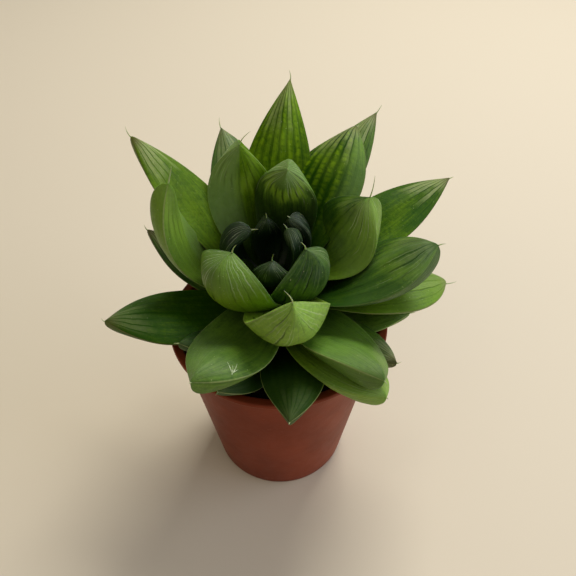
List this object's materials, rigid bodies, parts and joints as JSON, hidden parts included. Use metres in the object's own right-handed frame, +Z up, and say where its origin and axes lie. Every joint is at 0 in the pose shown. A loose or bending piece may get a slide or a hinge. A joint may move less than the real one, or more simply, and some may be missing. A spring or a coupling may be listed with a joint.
{
  "type": "potted haworthia",
  "caption": "Rosette of thick, pointed, boat-shaped succulent leaves with bristle tips, growing in soil in a small round tapered plastic pot.",
  "frame": {"origin": "middle of the pot's flat base, on the surface that it stands on", "axes": "+Z up along the pot's axis; the plant is seen from -Y, looking along +Y; +X to the right"},
  "size_m": [0.0894, 0.0825, 0.0953],
  "materials": {
    "pot": "terracotta-brown moulded plastic, satin",
    "soil": "dark crumbly potting soil, matt",
    "stem": "pale olive plant stem, matt",
    "heart_leaf": "firm waxy leaf with dark lines, satin",
    "upper_leaf": "firm waxy leaf with dark lines and net, satin",
    "middle_leaf": "firm waxy leaf with dark lines and pale windows, satin",
    "low_leaf": "firm waxy leaf, olive at its base, satin"
  },
  "bodies": {
    "root": {"pot": "pot", "soil": "soil", "stem": "stem", "heart_leaf_01": "heart_leaf", "heart_leaf_02": "heart_leaf", "heart_leaf_03": "heart_leaf", "heart_leaf_04": "heart_leaf", "heart_leaf_05": "heart_leaf", "heart_leaf_06": "heart_leaf", "heart_leaf_07": "heart_leaf", "upper_leaf_01": "upper_leaf", "upper_leaf_02": "upper_leaf", "upper_leaf_03": "upper_leaf", "upper_leaf_04": "upper_leaf", "upper_leaf_05": "upper_leaf", "upper_leaf_06": "upper_leaf", "upper_leaf_07": "upper_leaf", "middle_leaf_01": "middle_leaf", "middle_leaf_02": "middle_leaf", "middle_leaf_03": "middle_leaf", "middle_leaf_04": "middle_leaf", "middle_leaf_05": "middle_leaf", "middle_leaf_06": "middle_leaf", "middle_leaf_07": "middle_leaf", "middle_leaf_08": "middle_leaf", "middle_leaf_09": "middle_leaf", "low_leaf_01": "low_leaf", "low_leaf_02": "low_leaf", "low_leaf_03": "low_leaf", "low_leaf_04": "low_leaf", "low_leaf_05": "low_leaf", "low_leaf_06": "low_leaf", "low_leaf_07": "low_leaf", "low_leaf_08": "low_leaf", "low_leaf_09": "low_leaf", "low_leaf_10": "low_leaf"}
  },
  "joints": []
}
